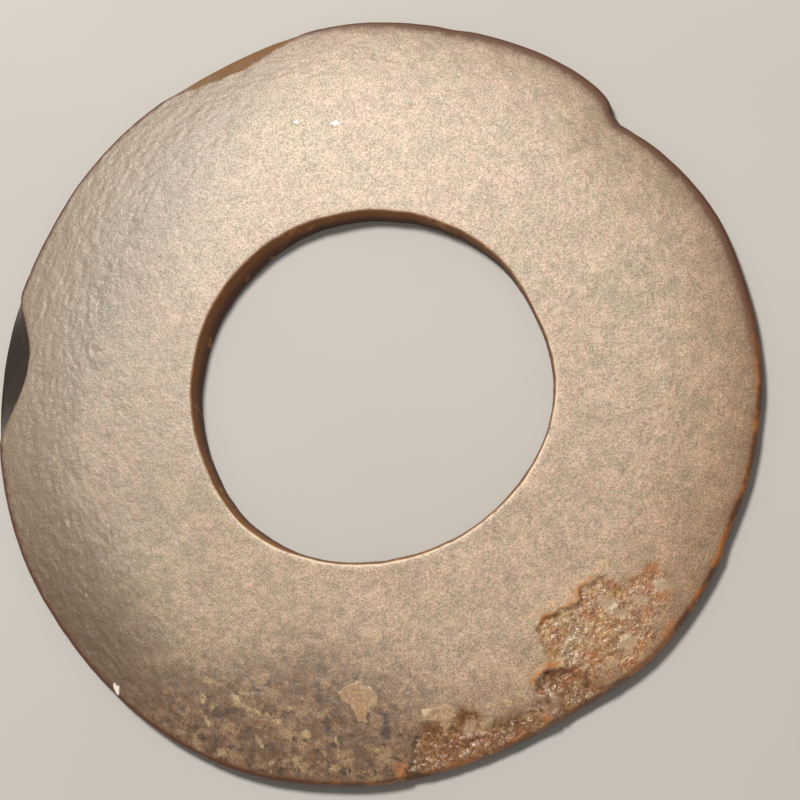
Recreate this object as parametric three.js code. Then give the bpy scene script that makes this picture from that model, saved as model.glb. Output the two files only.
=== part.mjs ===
// Jade huan disc: one plain, worn ring of nephrite that lies loose on its flat back.
// Millimetres, +Z up. The origin is under the middle of the outline, on the back's plane.
// Angles are in degrees, from +X round towards +Y, and the face that shows is the upper one.
import * as THREE from 'three';
import { mergeVertices } from 'three/addons/utils/BufferGeometryUtils.js';

// Overall sizes
const discRadius = 60.55; // out to the rim, before its wear
const holeRadius = 28.15; // at the face, before its wear
const holeTaper = 0.35; // how much less it is at the back, since it was drilled from the face
const holeShiftX = 1.4; // how far the hole was drilled off the middle
const holeShiftY = -0.35;
const thickness = 4; // beside the hole
const holeArris = 0.35; // worn edges of the hole

// Rim
const faceFall = 0.75; // how much lower the face is at the rim
const fallWidth = 16; // width of the outer band in which it falls
const rimWaist = 1.45; // height of the rim's outermost line
const faceRound = 0.9; // width of the rounding from the face to that line
const backRound = 0.95; // width of the rounding below it

// Worn places along the outline. Each pulls the rim in (or out, where it is less than 0) by so many
// millimetres, fading over so many degrees before and after. Bluntness 1 is a sharp notch, 2 a swell.
const outlineWear = [
  { at: 44, before: 23, after: 15.5, pull: 3, bluntness: 1 }, // the open notch, upper right
  { at: 48.2, before: 2.3, after: 10, pull: -0.85, bluntness: 2 }, // the tooth beside it
  { at: 75, before: 3, after: 3, pull: 0.2, bluntness: 2 },
  { at: 93.5, before: 16.5, after: 20, pull: -0.6, bluntness: 2 },
  { at: 131.5, before: 10, after: 18.5, pull: -0.25, bluntness: 2 },
  { at: 156, before: 13, after: 17, pull: 0.25, bluntness: 2 },
  { at: 180, before: 14.5, after: 27.5, pull: 0.15, bluntness: 2 },
  { at: 219, before: 15, after: 7, pull: 0.15, bluntness: 2 },
  { at: 250.5, before: 25, after: 17, pull: -0.8, bluntness: 2 },
  { at: 298.5, before: 30, after: 17.5, pull: 1.5, bluntness: 2 }, // worn flat, lower right
  { at: 335.5, before: 3, after: 10.5, pull: 0.45, bluntness: 2 },
  { at: 358.5, before: 7, after: 15.5, pull: -0.3, bluntness: 2 },
];

// The same for the hole's edge at the face, about its own centre: more than 0 makes it narrower
const faceHoleWear = [
  { at: 352.5, before: 45, after: 29, pull: -1.1, bluntness: 2 },
  { at: 68, before: 28, after: 22, pull: 0.2, bluntness: 2 },
  { at: 131, before: 31, after: 52, pull: -0.6, bluntness: 2 },
  { at: 230, before: 27, after: 19, pull: -0.6, bluntness: 2 },
  { at: 275, before: 28, after: 35, pull: 0.4, bluntness: 2 },
];

// And at the back
const backHoleWear = [
  { at: 353.5, before: 27, after: 28, pull: -0.75, bluntness: 2 },
  { at: 72, before: 32, after: 35, pull: 0.3, bluntness: 2 },
  { at: 140, before: 21, after: 75, pull: 0.25, bluntness: 2 },
  { at: 225, before: 17, after: 20, pull: -0.25, bluntness: 2 },
  { at: 282, before: 36, after: 50, pull: 0.9, bluntness: 2 },
];

// Chips that slope from the face down to the rim. Reach is how far in they take the face, and foot
// is the height that they come down to.
const rimChips = [
  { at: 174, before: 12, after: 14.5, reach: 5.4, foot: rimWaist, bluntness: 2 }, // the bite at the left
  { at: 111, before: 14, after: 15, reach: 3.1, foot: 2.2, bluntness: 2 }, // the long one, upper left
  { at: 44, before: 8, after: 5, reach: 0.9, foot: rimWaist, bluntness: 1.5 }, // the notch's bruised edge
  { at: 278, before: 1.5, after: 3.5, reach: 1.6, foot: 1.9, bluntness: 1.5 }, // beside a crack, bottom
];

// Spalled places, where the skin of the face flaked away: the middle's distance in from the rim,
// half the length along the rim, half the width across it, how deep, and how wide the sloping edge
// is as a share of the place. Where two overlap, the deeper one shows.
const spalls = [
  { at: 313.5, inset: 7.4, along: 11.5, across: 6.4, deep: 0.5, edge: 0.25 },
  { at: 303, inset: 3.6, along: 5.6, across: 4.4, deep: 1, edge: 0.3 },
  { at: 293.5, inset: 2.8, along: 6.5, across: 4.2, deep: 0.75, edge: 0.35 },
  { at: 285.5, inset: 4.4, along: 7.5, across: 5.4, deep: 0.9, edge: 0.25 },
  { at: 282, inset: 7.4, along: 2.2, across: 2.2, deep: 1.25, edge: 0.7 },
];
const spallSquareness = 3; // 2 would be an oval

// Fineness of the mesh
const segmentsAround = 180;
const bunchedAt = 300; // the segments are closest together here, among the scars
const bunching = 0.35; // by this share of their even spacing
const innerFaceRows = 2; // plain part of the face
const outerFaceRows = 11; // falling band of the face, where the scars are
const roundingRows = 3; // each side of the waist
const backRows = 2;

// How the wear spreads over the face, as shares of the way from the hole to the rim
const rimWearFrom = 0.3; // the outline's wear grows from here
const rimWearTo = 0.9;
const holeWearFrom = 0.1; // the hole's wear and its shift fade from here
const holeWearTo = 0.7;

const fadePower = 1.4;
const fullTurn = 360;

// 0 below the first limit, 1 above the second, and smooth between
const ramp = (value, from, to) => THREE.MathUtils.smoothstep(value, from, to);

// How near an angle is to a place, from 1 in its middle to 0 at its ends and beyond
function nearness(place, angle) {
  const turn = THREE.MathUtils.euclideanModulo(angle - place.at + fullTurn / 2, fullTurn) - fullTurn / 2;
  const share = turn < 0 ? -turn / place.before : turn / place.after;
  return share < 1 ? (1 - share ** place.bluntness) ** fadePower : 0;
}

function pullAt(places, angle) {
  return places.reduce((sum, place) => sum + place.pull * nearness(place, angle), 0);
}

// Height of the sound face, by its nominal radius
function soundFace(radius) {
  const share = THREE.MathUtils.clamp((radius - discRadius + fallWidth) / fallWidth, 0, 1);
  return thickness - faceFall * share ** 2;
}

// How much the spalls take off the face at an angle and a distance in from the rim
function spallDepth(angle, inset) {
  let depth = 0;
  for (const spall of spalls) {
    const turn = THREE.MathUtils.euclideanModulo(angle - spall.at + fullTurn / 2, fullTurn) - fullTurn / 2;
    const along = Math.abs(THREE.MathUtils.degToRad(turn) * (discRadius - inset)) / spall.along;
    const across = Math.abs(inset - spall.inset) / spall.across;
    const away = (along ** spallSquareness + across ** spallSquareness) ** (1 / spallSquareness);
    depth = Math.max(depth, spall.deep * ramp(1 - away, 0, spall.edge));
  }
  return depth;
}

// Height of the chipped surface: the chip's foot on the rim, the whole face at the chip's reach
function chipHeight(angle, inset, face) {
  let height = face;
  for (const chip of rimChips) {
    const reach = chip.reach * nearness(chip, angle);
    if (reach > 0 && inset < reach) {
      height = Math.min(height, chip.foot + (face - chip.foot) * (inset / reach));
    }
  }
  return height;
}

// One slice through the ring, closed on itself: up the hole's wall, across the face, round the rim
// and back along the underside
function sliceOutline() {
  const points = [];
  const add = (radius, height) => points.push(new THREE.Vector2(radius, height));
  const backHole = holeRadius - holeTaper;
  const faceStart = holeRadius + holeArris;
  const fallStart = discRadius - fallWidth;
  const roundStart = discRadius - faceRound;
  const backStart = discRadius - backRound;
  const backEnd = backHole + holeArris;
  add(backHole, holeArris);
  add((backHole + holeRadius) / 2, thickness / 2);
  add(holeRadius, thickness - holeArris);
  for (let row = 0; row < innerFaceRows; row += 1) {
    const radius = THREE.MathUtils.lerp(faceStart, fallStart, row / innerFaceRows);
    add(radius, soundFace(radius));
  }
  for (let row = 0; row < outerFaceRows; row += 1) {
    const radius = THREE.MathUtils.lerp(fallStart, roundStart, row / outerFaceRows);
    add(radius, soundFace(radius));
  }
  const roundHeight = soundFace(roundStart) - rimWaist;
  for (let row = 0; row < roundingRows; row += 1) {
    const turn = (Math.PI / 2) * (row / roundingRows);
    add(roundStart + faceRound * Math.sin(turn), rimWaist + roundHeight * Math.cos(turn));
  }
  for (let row = 0; row < roundingRows; row += 1) {
    const turn = (Math.PI / 2) * (row / roundingRows);
    add(backStart + backRound * Math.cos(turn), rimWaist * (1 - Math.sin(turn)));
  }
  for (let row = 0; row <= backRows; row += 1) {
    add(THREE.MathUtils.lerp(backStart, backEnd, row / backRows), 0);
  }
  points.push(points[0].clone());
  return points.reverse(); // in this direction the turned faces look outwards
}

// The turned ring, with every corner moved to its worn, chipped and spalled place
function carvedRing() {
  const ring = new THREE.LatheGeometry(sliceOutline(), segmentsAround);
  ring.rotateX(Math.PI / 2);
  ring.deleteAttribute('normal');
  ring.deleteAttribute('uv');
  const corners = ring.getAttribute('position');
  const bandWidth = discRadius - holeRadius;
  for (let corner = 0; corner < corners.count; corner += 1) {
    const evenTurn = Math.atan2(corners.getY(corner), corners.getX(corner));
    const turn = evenTurn - bunching * Math.sin(evenTurn - THREE.MathUtils.degToRad(bunchedAt));
    const angle = THREE.MathUtils.radToDeg(turn);
    const radius = Math.hypot(corners.getX(corner), corners.getY(corner));
    const outward = (radius - holeRadius) / bandWidth;
    const edgeShare = ramp(outward, rimWearFrom, rimWearTo);
    const holeShare = 1 - ramp(outward, holeWearFrom, holeWearTo);
    let height = corners.getZ(corner);
    const up = height / thickness;
    const holePull = THREE.MathUtils.lerp(pullAt(backHoleWear, angle), pullAt(faceHoleWear, angle), up);
    const rimHere = discRadius - pullAt(outlineWear, angle);
    const worn = radius + edgeShare * (rimHere - discRadius) - holeShare * holePull;
    if (height > rimWaist) {
      const face = soundFace(radius);
      const inset = rimHere - worn;
      const scarred = Math.min(face - spallDepth(angle, inset), chipHeight(angle, inset, face));
      height = rimWaist + ((height - rimWaist) * (scarred - rimWaist)) / (face - rimWaist);
    }
    const x = worn * Math.cos(turn) + holeShare * holeShiftX;
    const y = worn * Math.sin(turn) + holeShare * holeShiftY;
    corners.setXYZ(corner, x, y, height);
  }
  const closed = mergeVertices(ring);
  closed.computeBoundingBox();
  const middle = closed.boundingBox.getCenter(new THREE.Vector3());
  closed.translate(-middle.x, -middle.y, 0);
  closed.computeVertexNormals();
  return closed;
}

const waxyBrownJade = new THREE.MeshStandardMaterial({ color: 0xa8927a, roughness: 0.5, metalness: 0 });
const jadeDisc = new THREE.Mesh(carvedRing(), waxyBrownJade);
jadeDisc.name = 'jade_disc';

const model = new THREE.Group();
model.add(jadeDisc);

export default model;
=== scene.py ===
import bpy
import numpy as np
from mathutils import Matrix, Vector


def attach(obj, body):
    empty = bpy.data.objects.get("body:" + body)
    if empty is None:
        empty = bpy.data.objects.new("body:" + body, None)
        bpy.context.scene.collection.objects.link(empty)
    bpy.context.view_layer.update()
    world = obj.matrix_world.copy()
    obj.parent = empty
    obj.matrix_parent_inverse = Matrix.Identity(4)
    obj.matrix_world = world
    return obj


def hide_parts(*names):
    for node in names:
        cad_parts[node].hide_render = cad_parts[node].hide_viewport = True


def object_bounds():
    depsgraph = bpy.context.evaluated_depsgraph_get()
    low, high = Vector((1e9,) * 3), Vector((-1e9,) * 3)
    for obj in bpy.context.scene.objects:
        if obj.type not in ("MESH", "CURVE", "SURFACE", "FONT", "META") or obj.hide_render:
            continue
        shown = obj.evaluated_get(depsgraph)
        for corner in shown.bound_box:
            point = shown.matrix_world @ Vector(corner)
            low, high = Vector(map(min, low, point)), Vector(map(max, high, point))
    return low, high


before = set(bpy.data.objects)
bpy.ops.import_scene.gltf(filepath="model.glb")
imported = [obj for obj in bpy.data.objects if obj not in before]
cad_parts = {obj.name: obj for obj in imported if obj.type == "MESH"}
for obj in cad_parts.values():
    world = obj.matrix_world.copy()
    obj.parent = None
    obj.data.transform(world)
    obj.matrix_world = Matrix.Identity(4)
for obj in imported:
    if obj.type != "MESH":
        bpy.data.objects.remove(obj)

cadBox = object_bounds()
mm = 0.001


# noise on whole arrays

def latticeNoise(x, y, size, seed):
    # random heights from -1 to 1 on a square lattice of the given size, blended along both ways with
    # the fade curve 6t^5 - 15t^4 + 10t^3
    table = np.random.default_rng(seed).uniform(-1, 1, (256, 256))
    u, v = x / size, y / size
    i, j = np.floor(u).astype(int), np.floor(v).astype(int)
    s, t = u - i, v - j
    s = s ** 3 * (s * (s * 6 - 15) + 10)
    t = t ** 3 * (t * (t * 6 - 15) + 10)
    low = table[i % 256, j % 256] * (1 - s) + table[(i + 1) % 256, j % 256] * s
    high = table[i % 256, (j + 1) % 256] * (1 - s) + table[(i + 1) % 256, (j + 1) % 256] * s
    return low * (1 - t) + high * t


def layeredNoise(x, y, size, seed, layers=4, gain=0.5):
    # sum of latticeNoise at size, size/2, size/4 ..., each layer gain times as strong, over the sum
    # of the gains; every layer is turned by 0.6 radians more so that the lattices don't line up
    weight, gains = 1.0, 0.0
    result = np.zeros_like(x)
    for layer in range(layers):
        turn = 0.6 * (layer + 1)
        a, b = x * np.cos(turn) - y * np.sin(turn), x * np.sin(turn) + y * np.cos(turn)
        result += weight * latticeNoise(a, b, size / 2 ** layer, seed + layer)
        gains += weight
        weight *= gain
    return result / gains


def ramp(value, low, high):
    # 0 up to low, 1 from high on, 3t^2 - 2t^3 between
    t = np.clip((value - low) / (high - low), 0, 1)
    return t * t * (3 - 2 * t)


def insidePolygon(x, y, corners):
    # distance to the nearest side of a closed outline: more than 0 inside it, less than 0 outside
    corners = np.array(corners, float)
    nearest = np.full(x.shape, 1e9)
    inside = np.zeros(x.shape, bool)
    for (ax, ay), (bx, by) in zip(corners, np.roll(corners, -1, 0)):
        ex, ey = bx - ax, by - ay
        along = np.clip(((x - ax) * ex + (y - ay) * ey) / (ex * ex + ey * ey), 0, 1)
        nearest = np.minimum(nearest, np.hypot(x - ax - along * ex, y - ay - along * ey))
        crosses = (ay > y) != (by > y)
        reach = ax + (y - ay) / (ey if ey else 1e-9) * ex
        inside ^= crosses & (x < reach)
    return np.where(inside, nearest, -nearest)


def nearPath(x, y, points):
    # distance to the nearest stretch of an open path
    points = np.array(points, float)
    nearest = np.full(x.shape, 1e9)
    for (ax, ay), (bx, by) in zip(points[:-1], points[1:]):
        ex, ey = bx - ax, by - ay
        along = np.clip(((x - ax) * ex + (y - ay) * ey) / (ex * ex + ey * ey), 0, 1)
        nearest = np.minimum(nearest, np.hypot(x - ax - along * ex, y - ay - along * ey))
    return nearest


def softSpots(x, y, spots):
    # 1 in the middle of each turned ellipse, 0 from 1.5 times its half lengths on; the largest of all
    best = np.zeros(x.shape)
    for atX, atY, halfLong, halfWide, turn in spots:
        c, s = np.cos(np.radians(turn)), np.sin(np.radians(turn))
        along, across = (x - atX) * c + (y - atY) * s, (y - atY) * c - (x - atX) * s
        best = np.maximum(best, 1 - ramp(np.hypot(along / halfLong, across / halfWide), 0.4, 1.5))
    return best


def softPaths(x, y, paths):
    # 1 on each path, 0 from its half width on; the largest of all
    return np.max([1 - ramp(nearPath(x, y, path), 0.2 * wide, wide) for path, wide in paths], 0)


# the ring

ring = {
    "radius": 60.55, "holeRadius": 28.15, "holeTaper": 0.35, "holeShift": (1.4, -0.35),
    "thickness": 4.0, "holeArris": 0.35,
    "faceFall": 0.75, "fallWidth": 16.0, "rimWaist": 1.45, "faceRound": 0.9, "backRound": 0.95,
    # middle of the turned outline, and what the corners, paths and spots below are measured from, both
    # seen from the middle of the box
    "rimMiddle": (-0.223, -0.296), "faceMiddle": (0.114, -0.635),

    # columns round the ring, closest together at the scars, and rows along its slice
    "around": 720, "bunchedAt": 300, "bunching": 0.42,
    "wallRows": 8, "arrisRows": 4, "innerRows": 26, "outerRows": 66, "roundRows": 12,
    "underRows": 8, "backRows": 7,

    # worn places: at, degrees before, degrees after, pull inwards, bluntness (1 a notch, 2 a swell)
    "outlineWear": [
        (44, 23, 15.5, 3.0, 1), (48.2, 2.3, 10, -0.85, 2),             # notch and tooth, upper right
        (75, 3, 3, 0.2, 2), (93.5, 16.5, 20, -0.6, 2), (131.5, 10, 18.5, -0.25, 2),
        (156, 13, 17, 0.25, 2), (180, 14.5, 27.5, 0.15, 2), (219, 15, 7, 0.15, 2),
        (250.5, 25, 17, -0.8, 2), (298.5, 30, 17.5, 1.5, 2),           # worn flat, lower right
        (335.5, 3, 10.5, 0.45, 2), (358.5, 7, 15.5, -0.3, 2),
    ],
    "faceHoleWear": [
        (352.5, 45, 29, -1.1, 2), (68, 28, 22, 0.2, 2), (131, 31, 52, -0.6, 2),
        (230, 27, 19, -0.6, 2), (275, 28, 35, 0.4, 2),
    ],
    "backHoleWear": [
        (353.5, 27, 28, -0.75, 2), (72, 32, 35, 0.3, 2), (140, 21, 75, 0.25, 2),
        (225, 17, 20, -0.25, 2), (282, 36, 50, 0.9, 2),
    ],
    "fadePower": 1.4,                                      # how sharply each place ends
    "rimShare": (0.3, 0.9), "holeShare": (0.1, 0.7),       # parts of the way out where each kind changes
    "rimNibble": 0.12, "rimNoiseAt": 60, "holeNibble": 0.14, "holeNoiseAt": 28,    # depth, noise's radius

    # wear of the sound skin; the outer band is crumpled, most at the left
    "unevenness": 0.06, "skinBelow": 0.09, "pits": 0.05,
    "ridges": 0.08, "ridgeSize": (1.25, 1.9), "ridgedFrom": (36, 48), "leastRidged": 0.35, "sway": 0.6,

    # rim chips: at, degrees before, degrees after, reach inwards, height of the foot, bluntness, darkness
    # (share of painted shade)
    "rimChips": [
        (174, 12, 14.5, 5.4, 1.45, 2, 1.0),    # the bite at the left, near-black with painted shadow over its dark brown
        (111, 14, 15, 3.1, 2.2, 2, 0.0),       # the long one, upper left
        (44, 8, 5, 0.9, 1.45, 1.5, 0.8),       # the notch's chipped edge, dark with painted shade in the corner
        (278, 1.5, 3.5, 1.6, 1.9, 1.5, 0.0),   # beside the crack at the bottom
        (230.4, 0.9, 1.0, 0.9, 2.3, 2, 0.0),   # the small chip under a painted glint, lower left
        (159.3, 1.4, 1.6, 0.7, 2.4, 2, 0.5),   # nick above the bite, half dark with painted shade
    ],
    "chipLumps": 0.1, "leastOverWaist": 0.25,

    # spalled patches: depth, and how far from the line of the first few corners the floor has come back
    # up to the skin (0: not at all); corners on the face
    "spalls": {
        "upper": {"deep": 0.34, "line": 7, "fades": 14, "corners": [
            (33.4, -31.2), (32.7, -31.9), (32.5, -33.3), (31.2, -34.3), (29.4, -35.2), (27.3, -35.8),
            (25.9, -37.9), (26.6, -40.8), (28.3, -43.3), (36, -50), (44.5, -44), (48, -38), (46.8, -31),
            (44.6, -27.6), (41.8, -28.0), (38.8, -30.4), (35.8, -30.2),
        ]},
        "second": {"deep": 0.6, "line": 0, "fades": 0, "corners": [
            (26.1, -46.6), (26.2, -45.0), (27.1, -43.8), (28.6, -42.9), (30.2, -42.9), (33.4, -43.4),
            (37.5, -45.5), (35.0, -50.5), (30.0, -54.0), (28.9, -50.2), (28.2, -47.6),
        ]},
        "lower": {"deep": 0.5, "line": 0, "fades": 0, "corners": [
            (7.9, -62.0), (8.1, -57.0), (8.5, -53.8), (8.6, -50.6), (9.3, -49.6), (11.6, -50.0),
            (13.4, -49.9), (15.2, -48.2), (17.8, -47.8), (19.6, -50.2), (22.6, -49.0), (25.2, -47.8),
            (27.9, -47.2), (28.9, -50.2), (30.0, -54.0), (18.0, -62.0),
        ]},
        "pit": {"deep": 0.85, "line": 0, "fades": 0, "corners": [
            (9.2, -50.6), (12.5, -50.3), (12.4, -52.2), (10.8, -53.0), (9.2, -52.3),
        ]},
    },
    "ragged": (0.35, 0.5),                       # how far coarse and fine noise move the outlines
    "stepWide": 2.6, "lipNarrows": 1.7,          # slope at a spall's edge, and how much less at a lip
    "slabs": 0.17, "terraces": 3.2, "hackle": 0.24,

    # cracks and slab edges: path, half width, depth
    "cracks": [
        ([
            (7.5, -60.4), (7.7, -57.3), (8.35, -56.3), (8.2, -55.2), (8.5, -54.0), (9.2, -53.0),
        ], 0.32, 0.8),
        ([(28.2, -47.2), (28.4, -48.6), (29.3, -50.2), (29.9, -52.0)], 0.26, 0.6),
        ([(13.9, -51.2), (14.5, -53.0), (15.9, -54.6), (16.9, -53.4), (18.2, -53.3)], 0.26, 0.32),
        ([(20.3, -50.3), (20.1, -52.8)], 0.2, 0.35),
        ([(33.7, -43.9), (33.5, -46.8)], 0.25, 0.5),
        ([(27.6, -43.9), (29.4, -44.3), (31.6, -43.9)], 0.3, 0.3),
        ([(29.6, -35.3), (29.5, -36.2), (29.0, -36.9)], 0.18, 0.25),
    ],
    # skins that stand over the spalls' edges or have lifted: corners on the face
    "peels": {
        "mushroom": [
            (-2.9, -46.2), (-1.6, -45.6), (-0.5, -45.3), (0.2, -45.0), (0.6, -45.6), (1.1, -45.2),
            (2.0, -45.9), (2.6, -46.6), (2.9, -47.8), (2.6, -48.4), (2.2, -49.3), (1.7, -48.6),
            (1.5, -49.6), (1.6, -50.8), (0.7, -50.9), (-0.1, -50.5), (-0.1, -49.4), (-0.5, -48.6),
            (-1.6, -48.2), (-2.4, -47.7),
        ],
        "tShape": [
            (9.1, -49.0), (10.2, -48.3), (11.3, -48.7), (12.8, -48.2), (14.2, -48.7), (14.8, -49.5),
            (14.1, -50.3), (13.6, -51.0), (13.6, -52.0), (12.9, -52.7), (12.5, -51.8), (12.6, -51.0),
            (11.6, -50.4), (9.8, -49.9),
        ],
    },
    "peelLift": 0.035,
    # lips of the spalls, orange edges that are partly painted highlight, and the painted shadow lines
    # under them: path, half width
    "lips": [
        ([(25.9, -45.9), (26.2, -44.4), (27.4, -43.2), (28.8, -42.7), (30.1, -42.8)], 0.55),
        ([
            (27.2, -36.2), (27.9, -35.5), (29.4, -35.0), (31.4, -34.0), (32.3, -33.3), (32.4, -32.0),
            (33.2, -31.1), (34.7, -30.0),
        ], 0.6),
    ],
    "paintedLipShadows": [
        ([(26.4, -46.2), (26.5, -44.9), (27.4, -43.8), (28.8, -43.3), (30.2, -43.4)], 0.5),
        ([(27.3, -36.3), (28.6, -35.8), (30.0, -35.1), (31.5, -34.3), (32.6, -33.6)], 0.42),
        ([(32.8, -33.2), (32.9, -32.1), (33.7, -31.3)], 0.3),
        ([(10.6, -50.5), (12.4, -50.8)], 0.45),
    ],

    # soft spots on the face: x, y, half length, half width, turn in degrees
    "creamSpots": [
        (9.9, -49.0, 1.0, 0.6, 10), (-16.0, -49.4, 1.3, 0.6, -15), (-14.4, -49.7, 1.2, 0.5, 5),
        (-18.4, -47.9, 1.8, 0.7, -45), (-17.9, -46.5, 0.5, 0.7, 0), (-23.2, -44.7, 1.1, 0.6, -20),
        (-22.0, -48.4, 0.6, 0.5, 0), (-22.8, -50.6, 0.4, 1.2, 8), (-24.1, -47.7, 0.6, 1.1, 10),
        (-12.3, -50.7, 1.3, 0.6, 10), (-14.9, -53.9, 0.5, 1.4, 35), (-7.7, -52.6, 0.9, 0.8, 0),
        (-21.0, -55.2, 0.9, 0.7, 0), (-26.5, -53.9, 0.6, 0.5, 0), (-9.3, -56.5, 0.8, 0.9, 0),
        (-12.9, -56.6, 0.4, 0.5, 0), (-13.2, -58.0, 0.4, 0.3, 0), (-3.3, -57.2, 0.9, 0.8, 0),
        (-2.8, -54.2, 0.35, 1.6, 5), (3.1, -54.8, 0.6, 0.4, 10), (-5.0, -55.2, 0.4, 0.4, 0),
        (-10.2, -48.8, 0.8, 0.5, 0), (23.9, -47.0, 0.9, 0.5, 15), (22.3, -47.9, 0.8, 0.7, 0),
        (20.0, -48.3, 0.6, 0.4, 0), (21.5, -52.1, 0.5, 0.45, 0), (18.5, -52.3, 1.0, 0.5, -10),
        (36.6, -28.3, 1.0, 0.8, 0), (34.4, -29.5, 1.0, 0.4, 10), (36.4, -35.8, 0.7, 0.6, 0),
        (41.5, -41.5, 0.9, 0.4, 40), (38.0, -38.1, 1.3, 0.25, 30), (36.8, -32.7, 1.2, 0.3, 10),
    ],
    "peachSpots": [
        (28.3, -34.4, 1.9, 0.8, 25), (31.4, -32.8, 1.1, 0.6, 40), (33.6, -30.6, 1.4, 0.6, 35),
        (27.0, -43.4, 1.5, 0.6, 45), (25.0, -35.6, 1.6, 0.5, 10), (29.4, -42.1, 1.0, 0.4, 0),
        (35.9, -28.8, 1.2, 0.7, 30), (13.3, -49.5, 1.2, 0.6, 0), (13.0, -51.6, 0.5, 1.3, 0),
    ],
    "smoothSpots": [
        (36.8, -33.8, 1.8, 1.1, -20), (38.6, -35.4, 1.2, 0.8, 0), (39.5, -40.0, 1.2, 1.9, -15),
        (37.2, -42.6, 0.9, 0.7, 0), (33.8, -32.2, 0.7, 0.5, 0), (27.0, -41.2, 1.3, 1.3, 0),
        (24.2, -44.6, 1.6, 1.3, 0), (18.8, -51.0, 1.4, 1.2, 0), (16.4, -51.6, 1.1, 1.4, 10),
        (41.4, -33.6, 1.3, 0.8, 0), (44.6, -31.6, 1.4, 0.9, 40),
    ],
    "rustSpots": [
        (43.3, -29.1, 1.6, 1.1, 20), (42.8, -31.5, 0.9, 1.5, 0), (44.6, -33.4, 1.9, 0.8, 30),
        (42.6, -34.7, 0.9, 0.6, 0), (37.5, -37.6, 0.9, 0.6, -10), (40.1, -37.7, 0.8, 0.7, -30),
        (34.6, -41.8, 1.6, 1.7, 0), (35.8, -39.4, 1.4, 0.6, -20), (31.4, -45.2, 1.4, 0.6, 0),
        (6.4, -57.4, 1.5, 2.0, -20), (27.9, -50.1, 0.9, 1.0, 0), (23.5, -53.0, 1.6, 0.6, 25),
        (14.5, -57.0, 2.0, 0.5, 12), (45.6, -37.6, 3.2, 0.7, 47), (10.0, -58.2, 1.6, 0.5, 5),
        (33.8, -34.2, 0.8, 0.6, 0),
    ],
    # dark blotches: stains, and painted shade where they sit in the pit, under the second spall's lip and
    # under the mushroom-shaped skin
    "darkSpots": [
        (10.8, -51.4, 1.3, 1.0, 0), (39.6, -44.0, 1.2, 0.5, 38), (28.6, -44.6, 1.6, 0.7, 0),
        (15.4, -49.4, 0.8, 0.9, 0), (27.5, -46.2, 0.5, 1.1, 0), (14.0, -54.2, 1.6, 0.9, -30),
        (-6.6, -55.8, 1.3, 0.9, 20), (-14.6, -51.0, 1.6, 0.5, 0), (-4.6, -53.6, 1.4, 0.8, 0),
        (1.8, -48.9, 0.22, 0.4, 0), (20.15, -54.3, 0.8, 0.7, 0), (16.6, -53.4, 1.0, 0.5, 30),
        (36.4, -30.3, 0.9, 0.35, 20), (-18.0, -57.2, 1.8, 0.8, -12), (24.2, -51.6, 1.4, 0.6, 20),
    ],
    # painted highlights: white glints on the face at the top and on the small chip at the lower left
    "paintedGlintSpots": [
        (-4.2, 43.7, 1.1, 0.45, 8), (-8.1, 43.4, 0.3, 0.2, 0), (-10.4, 43.9, 0.3, 0.2, 0),
        (-37.8, -45.8, 0.6, 0.9, 30),
    ],
    # painted glints: small bright sparkles in the spalls
    "paintedSparkleSpots": [
        (10.0, -56.9, 1.6, 0.3, 8), (12.6, -56.3, 0.8, 0.3, 60), (26.4, -48.7, 1.4, 0.4, 0),
        (31.6, -46.9, 1.4, 0.4, 15), (18.6, -55.3, 1.8, 0.3, 28), (30.3, -39.3, 0.4, 0.3, 0),
        (32.2, -38.0, 0.4, 1.0, 0), (27.3, -45.3, 0.8, 0.6, 0), (36.0, -32.6, 1.4, 0.3, 10),
        (24.0, -50.6, 1.6, 0.3, 8),
    ],
    # path, half width
    "scratches": [
        ([(-49.9, -9.9), (-48.2, -11.6), (-47.2, -12.9)], 0.2),
        ([(-43.9, -30.0), (-43.2, -30.8), (-42.6, -31.0)], 0.15),
        ([(-38.0, 13.5), (-37.9, 10.8)], 0.15),
        ([(25.6, -34.0), (25.9, -33.0)], 0.12),
        ([(-45.2, -30.2), (-43.0, -32.0)], 0.12),
        ([(-43.0, 17.0), (-44.4, 13.2), (-43.9, 10.4)], 0.14),
        ([(8.0, 33.0), (22.0, 30.5)], 0.1),
        ([(33.0, 24.0), (37.5, 14.0)], 0.1),
        ([(-30.0, -16.0), (-27.5, -24.0)], 0.1),
        ([(30.0, -12.0), (42.0, -16.0)], 0.1),
        ([(-2.0, 31.0), (6.0, 36.0)], 0.1),
    ],

    # noises: size, seed, layers, gain
    "noises": {
        "nibble": (5, 11, 5, 0.6), "hole": (4, 21, 5, 0.6), "slow": (14, 31, 3),
        "swayX": (4.0, 35, 2), "swayY": (4.0, 37, 2), "ridges": (1.0, 41, 3, 0.6), "pits": (3.4, 45, 3),
        "lookX": (3.2, 51, 3), "fineX": (1.1, 55, 2, 0.8),
        "lookY": (3.2, 61, 3), "fineY": (1.1, 65, 2, 0.8),
        "slabs": (3.6, 75, 2), "hackle": (2.0, 71, 4, 0.65), "chips": (2.2, 91, 3),
    },

    # regions of the face for the finish, each a product of ramps: share of x, share of y, from, to
    "regions": {
        "cool": [(-1, 0, 5, 45), (0, 1, -60, -20)],
        "warm": [(1, -0.5, 40, 78)],
        "low": [(-0.15, -1, 8, 46), (-1, 0, -15, 20)],
        # painted glow of light through the thin rim, lower right
        "glow": [(1, -1, 45, 75)],
        # painted shade where the rim turns away from the light, right and upper right
        "dusk": [(1, 0.5, 8, 45)],
        "dim": [(-1, 0.6, 36, 58)],
        "umber": [(0, -1, 41, 48)],
    },
    "arrisFaces": 300,                           # where the hole's upper edge faces the light and gets its painted highlight, degrees
    "everywhere": ("inset", "wall", "wallUp", "cool", "warm", "low", "glow", "dusk", "dim"),   # back too
}


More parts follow.
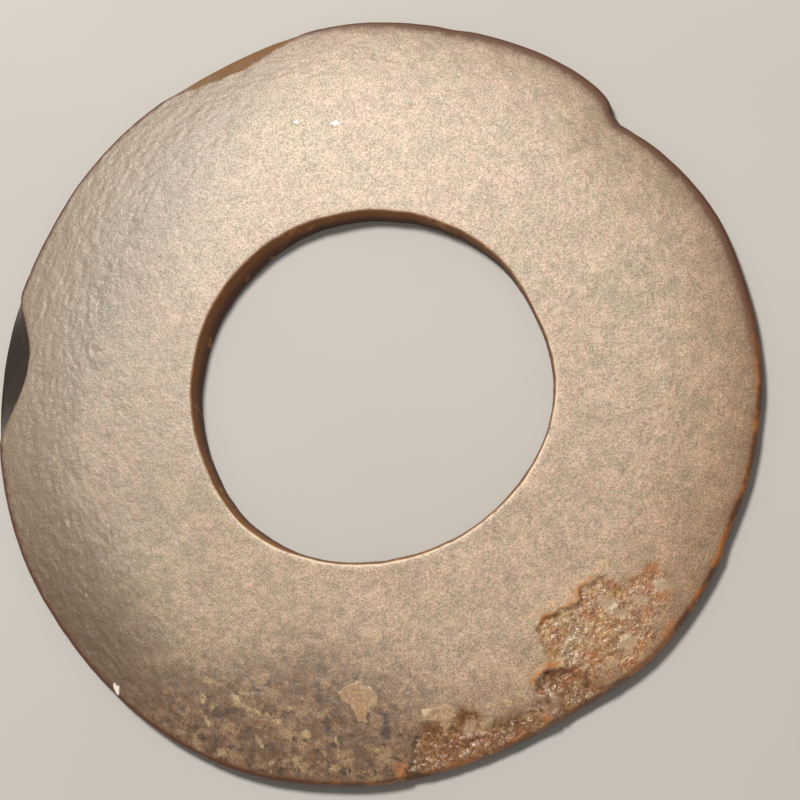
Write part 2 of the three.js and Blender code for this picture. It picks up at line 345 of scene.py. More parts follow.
def nearness(place, angle, power):
    # (1 - share^bluntness)^power, where share is how far the angle is through the place's half
    at, before, after, bluntness = place
    turn = (angle - at + 180) % 360 - 180
    share = np.clip(np.where(turn < 0, -turn / before, turn / after), 0, 1)
    return (1 - share ** bluntness) ** power


def pullAt(places, angle, power):
    # sum of the places' pulls, each times its nearness
    return sum(pull * nearness((at, before, after, bluntness), angle, power)
               for at, before, after, pull, bluntness in places)


def soundFace(radius, p):
    # thickness less faceFall times the square of the way through the falling band
    share = np.clip((radius - p["radius"] + p["fallWidth"]) / p["fallWidth"], 0, 1)
    return p["thickness"] - p["faceFall"] * share ** 2


def sliceOutline(p):
    # one slice as radii and heights: up the hole's wall, over its rounded edge, across the face,
    # round the rim's two quarter ellipses, back along the underside and round the hole's lower edge
    backHole = p["holeRadius"] - p["holeTaper"]
    arris, top, waist = p["holeArris"], p["thickness"], p["rimWaist"]
    fallStart, roundStart = p["radius"] - p["fallWidth"], p["radius"] - p["faceRound"]
    backStart = p["radius"] - p["backRound"]
    wall = np.arange(p["wallRows"]) / p["wallRows"]
    edge = np.arange(p["arrisRows"]) / p["arrisRows"] * np.pi / 2
    inner = np.linspace(p["holeRadius"] + arris, fallStart, p["innerRows"], endpoint=False)
    outer = np.linspace(fallStart, roundStart, p["outerRows"], endpoint=False)
    over = np.arange(p["roundRows"]) / p["roundRows"] * np.pi / 2
    under = np.arange(p["underRows"]) / p["underRows"] * np.pi / 2
    back = np.linspace(backStart, backHole + arris, p["backRows"], endpoint=False)
    radii = [backHole + (p["holeRadius"] - backHole) * wall,
             p["holeRadius"] + arris * (1 - np.cos(edge)), inner, outer,
             roundStart + p["faceRound"] * np.sin(over), backStart + p["backRound"] * np.cos(under),
             back, backHole + arris * (1 - np.sin(edge))]
    heights = [arris + (top - 2 * arris) * wall, top - arris * (1 - np.sin(edge)),
               soundFace(inner, p), soundFace(outer, p),
               waist + (soundFace(roundStart, p) - waist) * np.cos(over), waist * (1 - np.sin(under)),
               0 * back, arris * (1 - np.cos(edge))]
    return np.concatenate(radii), np.concatenate(heights)


def noiseAround(turn, radius, noise):
    # the noise along a circle, so that it has no seam
    return layeredNoise(radius * np.cos(turn), radius * np.sin(turn), *noise)


def regionOf(x, y, slopes):
    # product of ramps over share of x times x plus share of y times y
    return np.prod([ramp(across * x + along * y, low, high) for across, along, low, high in slopes], 0)


def carveRing(p):
    # column angle = t - bunching sin(t - bunchedAt); radius = slice radius, moved with the outline by
    # a share that grows outwards and with the hole by a share that falls; height = slice height,
    # lowered over the waist in proportion to what the chips, spalls and cracks take off the face
    power, waist, noises = p["fadePower"], p["rimWaist"], p["noises"]
    sliceRadius, sliceHeight = sliceOutline(p)
    even = np.linspace(0, 2 * np.pi, p["around"], endpoint=False)[:, None]
    turn = even - p["bunching"] * np.sin(even - np.radians(p["bunchedAt"]))
    angle = np.degrees(turn) % 360
    outward = (sliceRadius - p["holeRadius"]) / (p["radius"] - p["holeRadius"])
    rimShare, holeShare = ramp(outward, *p["rimShare"]), 1 - ramp(outward, *p["holeShare"])
    up = sliceHeight / p["thickness"]
    nibble = noiseAround(turn, p["rimNoiseAt"], noises["nibble"])
    onBack, onFace = (pullAt(p[wear], angle, power) for wear in ("backHoleWear", "faceHoleWear"))
    holeNoise = noiseAround(turn, p["holeNoiseAt"], noises["hole"])
    holePull = onBack * (1 - up) + onFace * up + p["holeNibble"] * holeNoise
    rimHere = p["radius"] - pullAt(p["outlineWear"], angle, power) - p["rimNibble"] * np.abs(nibble)
    worn = sliceRadius + rimShare * (rimHere - p["radius"]) - holeShare * holePull
    x = worn * np.cos(turn) + holeShare * p["holeShift"][0] + p["rimMiddle"][0]
    y = worn * np.sin(turn) + holeShare * p["holeShift"][1] + p["rimMiddle"][1]
    z = np.broadcast_to(sliceHeight, x.shape).copy()
    inset = rimHere - worn
    face = np.broadcast_to(soundFace(sliceRadius, p), x.shape)

    # wear of the sound skin: slow unevenness, and an outer band that is crumpled like leather
    slow = p["unevenness"] * layeredNoise(x, y, *noises["slow"])
    acrossX = x / p["ridgeSize"][0] + p["sway"] * layeredNoise(x, y, *noises["swayX"])
    acrossY = y / p["ridgeSize"][1] + p["sway"] * layeredNoise(x, y, *noises["swayY"])
    least = p["leastRidged"]
    ridged = ramp(worn, *p["ridgedFrom"]) * (least + (1 - least) * ramp(-x, -35, 20))
    ridges = 0.5 - np.abs(layeredNoise(acrossX, acrossY, *noises["ridges"])) * 1.6
    pits = np.minimum(0, layeredNoise(x, y, *noises["pits"]) + 0.25)
    skin = face - p["skinBelow"] + slow + p["ridges"] * ridged * ridges + p["pits"] * pits

    # the outlines of the spalls are ragged because the point that is looked up is moved by noise
    coarse, fine = p["ragged"]
    lookX = x - p["faceMiddle"][0] + coarse * layeredNoise(x, y, *noises["lookX"])
    lookX = lookX + fine * layeredNoise(x, y, *noises["fineX"])
    lookY = y - p["faceMiddle"][1] + coarse * layeredNoise(x, y, *noises["lookY"])
    lookY = lookY + fine * layeredNoise(x, y, *noises["fineY"])
    nearLip = ramp(softPaths(lookX, lookY, [(path, 5 * wide) for path, wide in p["lips"]]), 0.2, 0.6)
    stepWide = p["stepWide"] - p["lipNarrows"] * nearLip
    scar = np.zeros(x.shape)
    dug = np.zeros(x.shape)
    for spall in p["spalls"].values():
        within = insidePolygon(lookX, lookY, spall["corners"])
        left = np.ones(x.shape)
        fades = spall["fades"]
        if fades:
            far = nearPath(lookX, lookY, spall["corners"][:spall["line"]])
            left = 1 - ramp(far, 0.1 * fades, fades)
            within = np.minimum(within, 4.0 * (1 - ramp(far, 0.4 * fades, 1.35 * fades)) - 1.1)
        scar = np.maximum(scar, ramp(within, -0.4 * stepWide, 1.1 * stepWide))
        dug = np.maximum(dug, spall["deep"] * left * ramp(within, 0, stepWide))

    # broken stone: terraces and hackle, deeper where the spall is, then the cracks
    broken = ramp(scar, 0.1, 0.8)
    slabs = layeredNoise(x, y, *noises["slabs"])
    slabs = np.round(slabs * p["terraces"]) / p["terraces"] * 0.6 + slabs * 0.4
    hackle = np.abs(layeredNoise(x + 0.8 * slabs, y, *noises["hackle"])) * 1.6 - 0.15
    dug = dug + broken * (p["slabs"] * slabs * (0.4 + dug) + p["hackle"] * hackle * (0.4 + dug))
    for path, wide, deep in p["cracks"]:
        dug = dug + deep * (1 - ramp(nearPath(lookX, lookY, path), 0.15 * wide, wide))

    # lifted skins stand a little over what is round them
    peel = np.full(x.shape, -9.0)
    for corners in p["peels"].values():
        peel = np.maximum(peel, insidePolygon(lookX, lookY, corners))
    lifted = p["peelLift"] * ramp(peel, -0.1, 0.25) * (1 - 0.6 * ramp(peel, 0.3, 0.8))
    dug = dug * (1 - 0.85 * ramp(peel, -0.1, 0.3)) - lifted

    # chips slope from the foot at the rim up to the face at their reach
    chipped = np.full(x.shape, 9.0)
    chip, paintedChipShade = np.zeros(x.shape), np.zeros(x.shape)
    for at, before, after, reach, foot, bluntness, darkness in p["rimChips"]:
        reachHere = reach * nearness((at, before, after, bluntness), angle, power)
        reachHere = reachHere * (1 + 0.4 * (1 - darkness) * (nibble - 0.1))
        share = np.clip(inset / np.maximum(reachHere, 1e-6), 0, 1)
        slope = foot + (face - foot) * share ** 0.85
        chipped = np.where(inset < reachHere, np.minimum(chipped, slope), chipped)
        here = np.where(inset < reachHere, ramp(reachHere - inset, 0, 0.3), 0)
        chip, paintedChipShade = np.maximum(chip, here), np.maximum(paintedChipShade, here * darkness)
    chipped = chipped + p["chipLumps"] * chip * layeredNoise(x, y, *noises["chips"])

    carved = np.maximum(np.minimum(skin - dug, chipped), waist + p["leastOverWaist"])
    lowered = waist + (z - waist) * (carved - waist) / (face - waist)
    z = np.where(z > waist, lowered, z)

    # keep to the solid's own box
    low, high = (np.array(corner) / mm for corner in cadBox)
    x, y = np.clip(x, low[0], high[0]), np.clip(y, low[1], high[1])
    z = np.clip(z, 0, p["thickness"])

    # the hole's wall, and its upper edge: a painted highlight where that faces the light, and the wall's
    # brown carried over it as painted shade where it faces away
    wall = np.broadcast_to(ramp(0.006 - outward, 0, 0.004) * ramp(0.95 - up, 0, 0.03), x.shape)
    facesLight = ramp(np.cos(turn - np.radians(p["arrisFaces"])), -0.35, 0.3)
    arris = ramp(0.011 - outward, 0, 0.004) * ramp(up, 0.93, 0.96) * facesLight
    wall = np.maximum(wall, ramp(0.008 - outward, 0, 0.004) * ramp(up, 0.93, 0.96) * (1 - facesLight))
    fields = {
        "inset": inset, "scar": scar, "dug": dug, "chip": chip, "paintedChipShade": paintedChipShade, "peel": peel,
        "wall": wall, "wallUp": np.broadcast_to(up, x.shape), "arris": arris,
        "crack": softPaths(lookX, lookY, [crack[:2] for crack in p["cracks"]]),
        "lip": softPaths(lookX, lookY, p["lips"]), "paintedLipShadow": softPaths(lookX, lookY, p["paintedLipShadows"]),
        "scratch": softPaths(lookX, lookY, p["scratches"]),
        "murk": ramp(-lookY - 0.35 * np.abs(lookX + 8), 30, 48) * ramp(26 - lookX, 0, 24),
    }
    for name in ("cream", "peach", "smooth", "rust", "dark", "paintedGlint", "paintedSparkle"):
        fields[name] = softSpots(lookX, lookY, p[name + "Spots"])
    for name, slopes in p["regions"].items():
        fields[name] = regionOf(lookX, lookY, slopes)
    for name in fields:
        kept = (sliceHeight > waist) | (name in p["everywhere"])
        fields[name] = np.where(kept, fields[name], -9.0 if name == "peel" else 0.0)
    return np.stack([x, y, z], -1), fields


def closedGrid(name, points, fields):
    # a grid that closes on itself both ways, with its fields as point attributes; each face goes
    # along its row first and then round the ring, so that it points outwards
    columns, rows = points.shape[:2]
    index = np.arange(columns * rows).reshape(columns, rows)
    right, up = np.roll(index, -1, 0), np.roll(index, -1, 1)
    corner = np.roll(right, -1, 1)
    quads = np.stack([index, up, corner, right], -1).reshape(-1, 4)
    mesh = bpy.data.meshes.new(name)
    mesh.from_pydata((points.reshape(-1, 3) * mm).tolist(), [], quads.tolist())
    mesh.polygons.foreach_set("use_smooth", np.ones(len(quads), bool))
    for label, field in fields.items():
        attribute = mesh.attributes.new(label, "FLOAT", "POINT")
        attribute.data.foreach_set("value", field.astype(np.float32).ravel())
    mesh.update()
    piece = bpy.data.objects.new(name, mesh)
    bpy.context.scene.collection.objects.link(piece)
    return piece


print("carving the ring")
jadeDisc = closedGrid("jadeDisc", *carveRing(ring))
print("the ring has", len(jadeDisc.data.polygons) * 2, "triangles")


# the stone's finish

whiteLight = (1.5, 1.44, 1.32)      # what a white face sends back in this scene's light


def tone(red, green, blue):
    # a colour as it looks in this scene, 0 to 255, as the part of the light that is sent back
    channels = np.array([red, green, blue]) / 255
    linear = np.where(channels < 0.04045, channels / 12.92, ((channels + 0.055) / 1.055) ** 2.4)
    return (*(linear / whiteLight).tolist(), 1.0)


finish = {
    # sound skin
    "tan": tone(188, 155, 122), "cool": tone(154, 136, 114), "warm": tone(192, 144, 102),
    "pink": tone(194, 151, 125), "olive": tone(166, 147, 106),
    "band": tone(138, 104, 70), "bandCool": tone(146, 126, 102), "bandLow": tone(108, 80, 54),
    "murk": tone(112, 76, 46), "murkDark": tone(70, 42, 24), "murkPale": tone(160, 124, 84),
    # rim, hole and chips, with painted glow, painted lit patches, a painted highlight and painted shadow
    # among them
    "rimDark": tone(96, 50, 14), "paintedRimGlow": tone(208, 122, 42),
    "wallTop": tone(160, 96, 38), "wallLow": tone(100, 62, 38), "paintedWallLight": tone(214, 150, 84),
    "arris": tone(246, 216, 176), "chip": tone(36, 15, 5), "chipBrown": tone(128, 84, 38),
    # broken stone, skins and lips, with painted glints and the painted shadow under the lips
    "rust": tone(182, 110, 50), "scarDark": tone(124, 72, 30), "scarMid": tone(184, 132, 80),
    "scarPale": tone(226, 188, 132), "smooth": tone(194, 164, 124), "paintedCrinkleGlint": tone(242, 210, 164),
    "peel": tone(186, 148, 106), "peelEdge": tone(222, 188, 142), "peach": tone(214, 166, 120),
    "cream": tone(212, 180, 122), "lip": tone(200, 130, 60), "crackDarkAndPaintedShadow": tone(118, 60, 22),
    "paintedGlint": tone(255, 244, 226),
    # distances from the rim where each band starts and is full, mm
    "bandCoolWide": (13.0, 3.0), "bandWide": (12.0, -4.0), "bandLowWide": (18.0, 0.0),
    "paintedRimShadeWide": (2.6, 0.2), "rimWide": (1.5, 0.7), "bandRagged": 9.0, "rimRagged": 1.2,
    # shares at the fullest
    "coolShare": 0.8, "pinkShare": 0.5, "oliveShare": 0.5, "murkShare": 0.95, "scarShare": 0.95,
    "bandShare": 0.9, "paintedRimShadeShare": 0.6, "scratchShare": 0.75, "paintedSparkleShare": 0.75,
    # factors on the colour under them
    "umber": (0.74, 0.62, 0.5, 1), "grainDark": (0.5, 0.45, 0.38, 1), "grainPale": (1.44, 1.5, 1.6, 1),
    "crumbDark": (0.46, 0.36, 0.25, 1), "crumbPale": (1.34, 1.38, 1.42, 1), "dimTo": 0.66,
    # sizes of the noises, mm
    "grainSize": 0.27, "wrinkleSize": 0.5, "crumbSize": 0.55, "flakeSize": 0.6, "crinkleSize": 0.75,
    "dimpleSize": 0.9, "streakSize": 1.5, "mottleSize": 1.7, "patchSize": 2.4, "cloudSize": 9.0,
    # spots: raggedness, field where they start and where they are full, share at the fullest
    "spots": {
        "rust": (2.6, 0.35, 1.2, 0.75), "smooth": (2.2, 0.3, 1.1, 0.8), "dark": (2.6, 0.35, 1.3, 0.75),
        "cream": (2.6, 0.25, 1.5, 0.8), "peach": (1.6, 0.3, 1.2, 0.8), "lip": (2.2, 0.35, 1.1, 0.85),
        "paintedLipShadow": (2.6, 0.6, 1.3, 0.6), "crack": (1.0, 0.35, 1.0, 0.65),
    },
    "roughness": 0.45, "roughScar": (0.27, 0.55), "roughWall": 0.8, "roughDark": 0.34, "roughShade": 0.9,
    "roughGlint": 0.15, "ior": 1.61,
    "grainBump": 0.03, "mottleBump": 0.12, "dimpleBump": 0.06, "crinkleBump": 0.25,      # heights, mm
}


class Shade:
    # short names for the nodes that the finish is built from
    def __init__(self, name):
        self.material = bpy.data.materials.new(name)
        self.material.use_nodes = True
        self.nodes, self.links = self.material.node_tree.nodes, self.material.node_tree.links
        self.shader = self.nodes["Principled BSDF"]
        self.where = self.nodes.new("ShaderNodeTexCoord").outputs["Object"]

    def put(self, socket, value):
        if isinstance(value, bpy.types.NodeSocket):
            self.links.new(value, socket)
        else:
            socket.default_value = value

    def field(self, name):
        node = self.nodes.new("ShaderNodeAttribute")
        node.attribute_name = name
        return node.outputs["Fac"]

    def noise(self, size, detail=2.0, rough=0.5, stretch=(1, 1, 1), warp=0.0, turn=0.0):
        # size in mm; the pattern runs on Object coordinates
        mapping = self.nodes.new("ShaderNodeMapping")
        mapping.inputs["Scale"].default_value = [s / (size * mm) for s in stretch]
        mapping.inputs["Rotation"].default_value = (0, 0, turn)
        self.links.new(self.where, mapping.inputs["Vector"])
        node = self.nodes.new("ShaderNodeTexNoise")
        node.inputs["Scale"].default_value = 1.0
        node.inputs["Detail"].default_value = detail
        node.inputs["Roughness"].default_value = rough
        node.inputs["Distortion"].default_value = warp
        self.links.new(mapping.outputs["Vector"], node.inputs["Vector"])
        return node.outputs["Fac"]

    def range(self, value, low, high, toLow=0.0, toHigh=1.0):
        node = self.nodes.new("ShaderNodeMapRange")
        node.interpolation_type = "SMOOTHSTEP"
        self.put(node.inputs["Value"], value)
        for label, number in zip(("From Min", "From Max", "To Min", "To Max"), (low, high, toLow, toHigh)):
            self.put(node.inputs[label], number)
        return node.outputs["Result"]

    def maths(self, operation, a, b=0.0):
        node = self.nodes.new("ShaderNodeMath")
        node.operation = operation
        self.put(node.inputs[0], a)
        self.put(node.inputs[1], b)
        return node.outputs["Value"]

    def ragged(self, field, noise, amount):
        # a field whose level lines are broken up by a noise
        change = self.maths("MULTIPLY", self.maths("SUBTRACT", noise, 0.5), amount)
        return self.maths("ADD", field, change)

    # in a Mix node's RGBA mode, sockets 6 and 7 are the two colours and 2 is the result
    def mix(self, share, a, b):
        node = self.nodes.new("ShaderNodeMix")
        node.data_type = "RGBA"
        self.put(node.inputs[0], share)
        self.put(node.inputs[6], a)
        self.put(node.inputs[7], b)
        return node.outputs[2]

    def times(self, colour, factor):
        node = self.nodes.new("ShaderNodeMix")
        node.data_type, node.blend_type = "RGBA", "MULTIPLY"
        node.inputs[0].default_value = 1.0
        self.put(node.inputs[6], colour)
        self.put(node.inputs[7], factor)
        return node.outputs[2]

    def blend(self, share, a, b):
        node = self.nodes.new("ShaderNodeMix")
        self.put(node.inputs[0], share)
        self.put(node.inputs[2], a)
        self.put(node.inputs[3], b)
        return node.outputs[0]

    def bump(self, height, distance, strength=1.0, normal=None):
        node = self.nodes.new("ShaderNodeBump")
        node.inputs["Distance"].default_value = distance * mm
        self.put(node.inputs["Strength"], strength)
        self.put(node.inputs["Height"], height)
        if normal:
            self.links.new(normal, node.inputs["Normal"])
        return node.outputs["Normal"]


def jadeFinish(p):
    s = Shade("wornBrownJade")
    grain = s.noise(p["grainSize"], 3, 0.7)
    speck = s.noise(p["grainSize"] * 0.8, 2, 0.7, turn=0.7)
    mottle = s.noise(p["mottleSize"], 4, 0.65)
    hue = s.noise(p["mottleSize"] * 0.8, 2, 0.6, turn=1.1)
    cloud = s.noise(p["cloudSize"], 4, 0.6, warp=0.5)
    coarse = s.noise(p["cloudSize"] * 0.4, 4, 0.65, turn=2.0)
    crumb = s.noise(p["crumbSize"], 5, 0.75, turn=0.4)

    def spots(name, paint, under):
        amount, low, high, most = p["spots"][name]
        level = s.ragged(s.ragged(s.field(name), mottle, 0.6 * amount), crumb, 0.6 * amount)
        return s.mix(s.range(level, low, high, 0, most), under, paint)

    # sound skin: tan, cooler at the left and warmer at the right, with pinkish and olive mottling
    colour = s.mix(s.maths("MULTIPLY", s.field("cool"), p["coolShare"]), p["tan"], p["cool"])
    colour = s.mix(s.field("warm"), colour, p["warm"])
    colour = s.mix(s.range(hue, 0.48, 0.7, 0, p["pinkShare"]), colour, p["pink"])
    colour = s.mix(s.range(hue, 0.52, 0.3, 0, p["oliveShare"]), colour, p["olive"])
    colour = s.mix(s.range(cloud, 0.5, 0.72, 0, 0.4), colour, p["pink"])
    colour = s.mix(s.range(s.maths("ADD", cloud, mottle), 1.0, 0.75, 0, 0.5), colour, p["olive"])
    colour = s.times(colour, s.range(s.maths("ADD", coarse, mottle), 0.75, 1.25, 0.82, 1.14))
    colour = s.times(colour, s.range(s.field("dim"), 0, 1, 1, p["dimTo"]))

    # a browner band towards the rim, widest at the left, and the murky lower part
    inset = s.ragged(s.field("inset"), coarse, p["bandRagged"])
    inset = s.maths("SUBTRACT", inset, s.maths("MULTIPLY", s.field("cool"), 4.0))
    cool = s.maths("MULTIPLY", s.range(inset, *p["bandCoolWide"]), s.field("cool"))
    colour = s.mix(cool, colour, p["bandCool"])
    notCool = s.range(s.field("cool"), 0.3, 1.0, 1.0, 0.35)
    band = s.maths("MULTIPLY", s.range(inset, *p["bandWide"], 0, p["bandShare"]), notCool)
    colour = s.mix(band, colour, p["band"])
    low = s.maths("MULTIPLY", s.range(inset, *p["bandLowWide"]), s.field("low"))
    low = s.maths("MULTIPLY", low, s.range(s.field("warm"), 0, 0.5, 1.0, 0))
    colour = s.mix(low, colour, p["bandLow"])
    murky = s.maths("MULTIPLY", s.field("murk"), s.range(coarse, 0.3, 0.5, 0.6, 1.0))
    murk = s.mix(s.range(coarse, 0.47, 0.64), p["murk"], p["murkPale"])
    murk = s.mix(s.range(mottle, 0.5, 0.36), murk, p["murkDark"])
    murk = s.mix(s.range(hue, 0.54, 0.68, 0, 0.7), murk, p["murkPale"])
    colour = s.mix(s.maths("MULTIPLY", murky, p["murkShare"]), colour, murk)

    # spalled patches: brown, orange and pale broken stone with dark hollows, smooth islands and painted
    # glints on the crinkles
    patch = s.noise(p["patchSize"], 2, 0.6, turn=1.7)
    streak = s.noise(p["streakSize"], 2, 0.6, stretch=(1, 0.5, 1), turn=0.5)
    broken = s.range(s.ragged(s.ragged(s.field("scar"), mottle, 1.2), patch, 1.0), 0.25, 0.85)
    scar = s.mix(s.range(coarse, 0.36, 0.56, 0.25, 1), colour, p["scarMid"])
    scar = s.mix(s.range(patch, 0.5, 0.66, 0, 0.65), scar, p["rust"])
    scar = s.mix(s.range(patch, 0.48, 0.34, 0, 0.5), scar, p["smooth"])
    scar = s.mix(s.range(streak, 0.46, 0.34, 0, 0.5), scar, p["scarDark"])
    scar = s.mix(s.range(streak, 0.55, 0.66, 0, 0.5), scar, p["scarPale"])
    scar = s.mix(s.field("umber"), scar, s.times(scar, p["umber"]))
    scar = s.times(scar, s.mix(s.range(crumb, 0.34, 0.66), p["crumbDark"], p["crumbPale"]))
    wrinkle = s.noise(p["wrinkleSize"], 3, 0.7, stretch=(1, 0.55, 1), warp=0.8, turn=0.6)
    scar = s.mix(s.range(wrinkle, 0.44, 0.34, 0, 0.6), scar, p["scarDark"])
    # pale crinkles are painted glints
    scar = s.mix(s.range(wrinkle, 0.56, 0.66, 0, 0.4), scar, p["paintedCrinkleGlint"])
    colour = s.mix(s.maths("MULTIPLY", broken, p["scarShare"]), colour, scar)
    colour = s.mix(s.range(s.ragged(s.field("dug"), crumb, 1.0), 0.4, 1.1, 0, 0.6), colour, p["scarDark"])
    colour = spots("rust", p["rust"], colour)
    colour = spots("smooth", p["smooth"], colour)
    # dark spots: stains, with painted shade in the pit and under the lips and lifted skins
    colour = spots("dark", p["scarDark"], colour)
    colour = spots("cream", p["cream"], colour)
    colour = spots("peach", p["peach"], colour)

    # grain over all of it, weaker at the left and in the broken places
    keen = s.range(s.field("cool"), 0.2, 1.0, 1.0, 0.6)
    keen = s.maths("MULTIPLY", keen, s.range(broken, 0, 1, 1, 0.4))
    grains = s.blend(keen, 0.5, s.range(s.blend(0.35, grain, speck), 0.34, 0.66))
    colour = s.times(colour, s.mix(grains, p["grainDark"], p["grainPale"]))

    # dark rounded edge of the rim's own brown, orange at the lower right as a painted glow of light
    # through the stone, and inside it at the upper right a band of painted shade where the edge turns away
    # from the light
    orange = s.maths("MULTIPLY", s.field("glow"), s.range(coarse, 0.42, 0.58, 0.15, 1))
    edge = s.mix(orange, p["rimDark"], p["paintedRimGlow"])
    rim = s.ragged(s.field("inset"), mottle, p["rimRagged"])
    rim = s.maths("ADD", rim, s.maths("MULTIPLY", s.field("glow"), 0.8))
    rim = s.maths("SUBTRACT", rim, s.maths("MULTIPLY", s.field("dusk"), 0.45))
    paintedShadeBand = s.maths("MULTIPLY", s.range(rim, *p["paintedRimShadeWide"], 0, p["paintedRimShadeShare"]), s.field("dusk"))
    colour = s.mix(paintedShadeBand, colour, p["rimDark"])
    colour = s.mix(s.range(rim, *p["rimWide"]), colour, edge)

    # lifted skins, lips (their orange partly painted highlight), the painted shadow lines under the lips,
    # and cracks
    peel = s.ragged(s.field("peel"), s.noise(p["flakeSize"], 3, 0.7), 1.1)
    skin = s.mix(s.range(crumb, 0.42, 0.6, 0, 0.5), p["peel"], p["peach"])
    skin = s.mix(s.range(coarse, 0.5, 0.6, 0, 0.3), skin, p["lip"])
    skin = s.mix(s.range(peel, 0.35, 0.05), skin, p["peelEdge"])
    skin = s.times(skin, s.mix(s.range(crumb, 0.2, 0.8), p["crumbDark"], p["crumbPale"]))
    colour = s.mix(s.range(peel, -0.15, 0.25, 0, 0.75), colour, skin)
    colour = s.mix(s.maths("MULTIPLY", s.range(peel, -0.1, 0.2), s.field("cream")), colour, p["peelEdge"])
    colour = spots("lip", s.mix(s.range(hue, 0.5, 0.7), p["lip"], p["cream"]), colour)
    colour = spots("paintedLipShadow", p["crackDarkAndPaintedShadow"], colour)
    colour = spots("crack", p["crackDarkAndPaintedShadow"], colour)

    # chips with the bite's painted shadow, hole wall with painted glow and lit patches, the upper edge's
    # painted highlight, scratches, and painted glints and sparkles
    # the chips: brown, and near-black where painted shade lies over them, most at the bite
    chip = s.mix(s.field("paintedChipShade"), p["chipBrown"], p["chip"])
    chipSpeck = s.mix(s.field("paintedChipShade"), p["bandCool"], p["chip"])
    chip = s.mix(s.range(mottle, 0.45, 0.65, 0, 0.35), chip, chipSpeck)
    colour = s.mix(s.range(s.ragged(s.field("chip"), mottle, 0.8), 0.2, 0.8, 0, 0.97), colour, chip)
    # the hole's wall: brown, its orange partly a painted glow of light through the stone, with paler
    # patches of painted light
    wall = s.mix(s.range(s.ragged(s.field("wallUp"), coarse, 0.5), 0.25, 0.7), p["wallLow"], p["wallTop"])
    wall = s.mix(s.range(coarse, 0.56, 0.68, 0, 0.8), wall, p["paintedWallLight"])
    colour = s.mix(s.field("wall"), colour, wall)
    # painted highlight on the hole's upper edge where it faces the light
    colour = s.mix(s.maths("MULTIPLY", s.field("arris"), s.range(mottle, 0.3, 0.5)), colour, p["arris"])
    scratch = s.maths("MULTIPLY", s.field("scratch"), s.range(grain, 0.38, 0.6))
    colour = s.mix(s.maths("MULTIPLY", scratch, p["scratchShare"]), colour, p["peelEdge"])
    paintedSparkle = s.maths("MULTIPLY", s.field("paintedSparkle"), s.range(crumb, 0.54, 0.6))
    colour = s.mix(s.maths("MULTIPLY", paintedSparkle, p["paintedSparkleShare"]), colour, p["paintedGlint"])
    paintedGlint = s.range(s.ragged(s.field("paintedGlint"), grain, 1.2), 0.4, 0.8)
    colour = s.mix(paintedGlint, colour, p["paintedGlint"])
    s.put(s.shader.inputs["Base Color"], colour)

    # roughness, duller in the hole, the chips and the upper right's band
    rough = s.range(grain, 0.32, 0.6, p["roughness"] + 0.06, p["roughness"] - 0.02)
    rough = s.blend(broken, rough, s.range(speck, 0.35, 0.65, *p["roughScar"]))
    rough = s.blend(s.maths("MAXIMUM", s.field("wall"), s.field("chip")), rough, p["roughWall"])
    rough = s.blend(s.field("paintedChipShade"), rough, p["roughDark"])
    rough = s.blend(paintedShadeBand, rough, p["roughShade"])
    rough = s.blend(paintedGlint, rough, p["roughGlint"])
    s.put(s.shader.inputs["Roughness"], rough)
    s.shader.inputs["IOR"].default_value = p["ior"]

    # relief too fine for the mesh, from noises of few layers so that it stays wider than a pixel
    dimple = s.noise(p["dimpleSize"], 1.5, 0.5, warp=0.6, turn=0.9)
    crinkle = s.noise(p["crinkleSize"], 2, 0.55, stretch=(1, 0.65, 1), warp=0.8, turn=0.6)
    bumped = s.bump(grain, p["grainBump"], s.maths("MULTIPLY", keen, 0.7))
    bumped = s.bump(mottle, p["mottleBump"], 0.5, bumped)
    bumped = s.bump(dimple, p["dimpleBump"], s.field("cool"), bumped)
    keepSmooth = s.range(s.maths("MAXIMUM", s.field("smooth"), s.field("peach")), 0.2, 0.9, 1, 0.25)
    bumped = s.bump(crinkle, p["crinkleBump"], s.maths("MULTIPLY", broken, keepSmooth), bumped)
    s.put(s.shader.inputs["Normal"], bumped)
    return s.material


print("finishing the stone")
jadeDisc.data.materials.append(jadeFinish(finish))
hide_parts("jade_disc")
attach(jadeDisc, "root")


# floor, light and camera

stage = {
    "floorSize": 6000, "floorTone": tone(212, 205, 195), "floorShade": tone(204, 197, 187),
    "floorClouds": 60, "floorRoughness": 0.8,
    "keyFrom": (-0.235, 0.381, 0.894), "keyAim": (-4.0, 38.3, 4), "keyAway": 900, "keySize": 200,
    "keyPower": 10.4, "keyTone": (1.0, 0.95, 0.86),
    "fillTone": (0.86, 0.84, 0.80, 1), "fillStrength": 0.38,
    "cameraAt": (47.334, -49.153, 209.004), "cameraAim": (6.568, -3.459, 4.0),
    "lens": 63.0, "sensor": 36.0, "clipStart": 5,
}


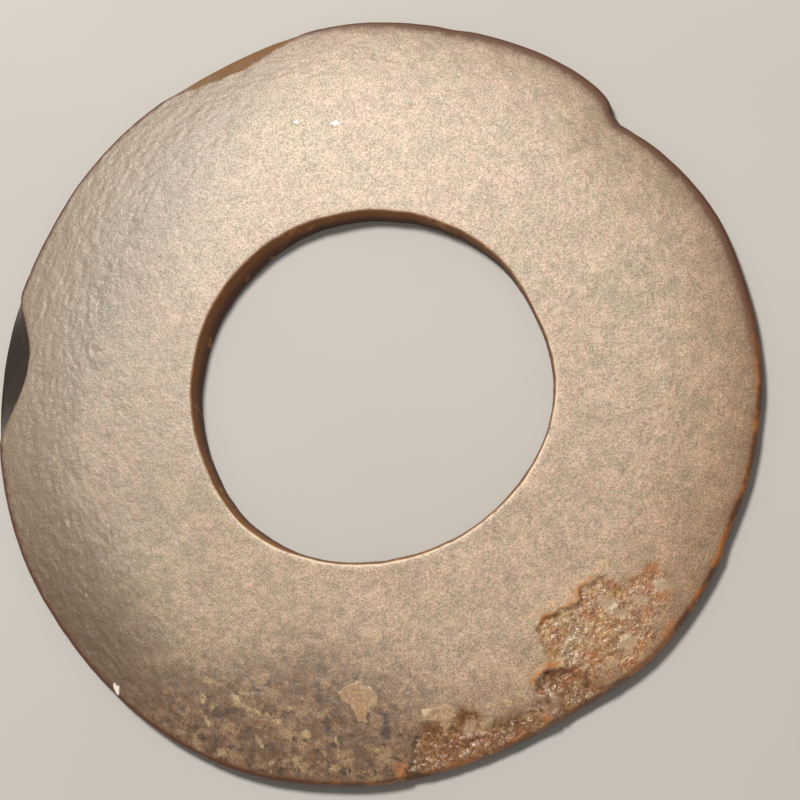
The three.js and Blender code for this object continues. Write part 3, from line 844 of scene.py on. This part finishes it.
def layFloor(p):
    half = p["floorSize"] / 2 * mm
    mesh = bpy.data.meshes.new("floor")
    corners = [(-half, -half, 0), (half, -half, 0), (half, half, 0), (-half, half, 0)]
    mesh.from_pydata(corners, [], [(0, 1, 2, 3)])
    floor = bpy.data.objects.new("floor", mesh)
    bpy.context.scene.collection.objects.link(floor)
    s = Shade("paleFloor")
    clouds = s.range(s.noise(p["floorClouds"], 3, 0.5), 0.3, 0.7, 0, 0.5)
    s.put(s.shader.inputs["Base Color"], s.mix(clouds, p["floorTone"], p["floorShade"]))
    s.shader.inputs["Roughness"].default_value = p["floorRoughness"]
    mesh.materials.append(s.material)


def lookFrom(place, aim, up):
    # the turn and place of a thing whose -Z looks at the aim and whose Y leans to up
    back = (place - aim).normalized()
    side = up.cross(back).normalized()
    turn = Matrix((side, back.cross(side), back)).transposed()
    return Matrix.Translation(place) @ turn.to_4x4()


def lightAndCamera(p):
    scene = bpy.context.scene
    upward = Vector((0, 1, 0))
    aim = Vector(p["keyAim"]) * mm
    away = Vector(p["keyFrom"]).normalized() * p["keyAway"] * mm
    light = bpy.data.lights.new("key", "AREA")
    light.shape, light.size, light.energy = "DISK", p["keySize"] * mm, p["keyPower"]
    light.color = p["keyTone"]
    key = bpy.data.objects.new("key", light)
    key.matrix_world = lookFrom(aim + away, aim, upward)
    scene.collection.objects.link(key)
    world = bpy.data.worlds.new("softFill")
    world.use_nodes = True
    world.node_tree.nodes["Background"].inputs["Color"].default_value = p["fillTone"]
    world.node_tree.nodes["Background"].inputs["Strength"].default_value = p["fillStrength"]
    scene.world = world
    lens = bpy.data.cameras.new("camera")
    lens.lens, lens.sensor_width, lens.clip_start = p["lens"], p["sensor"], p["clipStart"] * mm
    camera = bpy.data.objects.new("camera", lens)
    camera.matrix_world = lookFrom(Vector(p["cameraAt"]) * mm, Vector(p["cameraAim"]) * mm, upward)
    scene.collection.objects.link(camera)
    scene.camera = camera
    scene.view_settings.view_transform = "Standard"


print("setting the stage")
layFloor(stage)
lightAndCamera(stage)
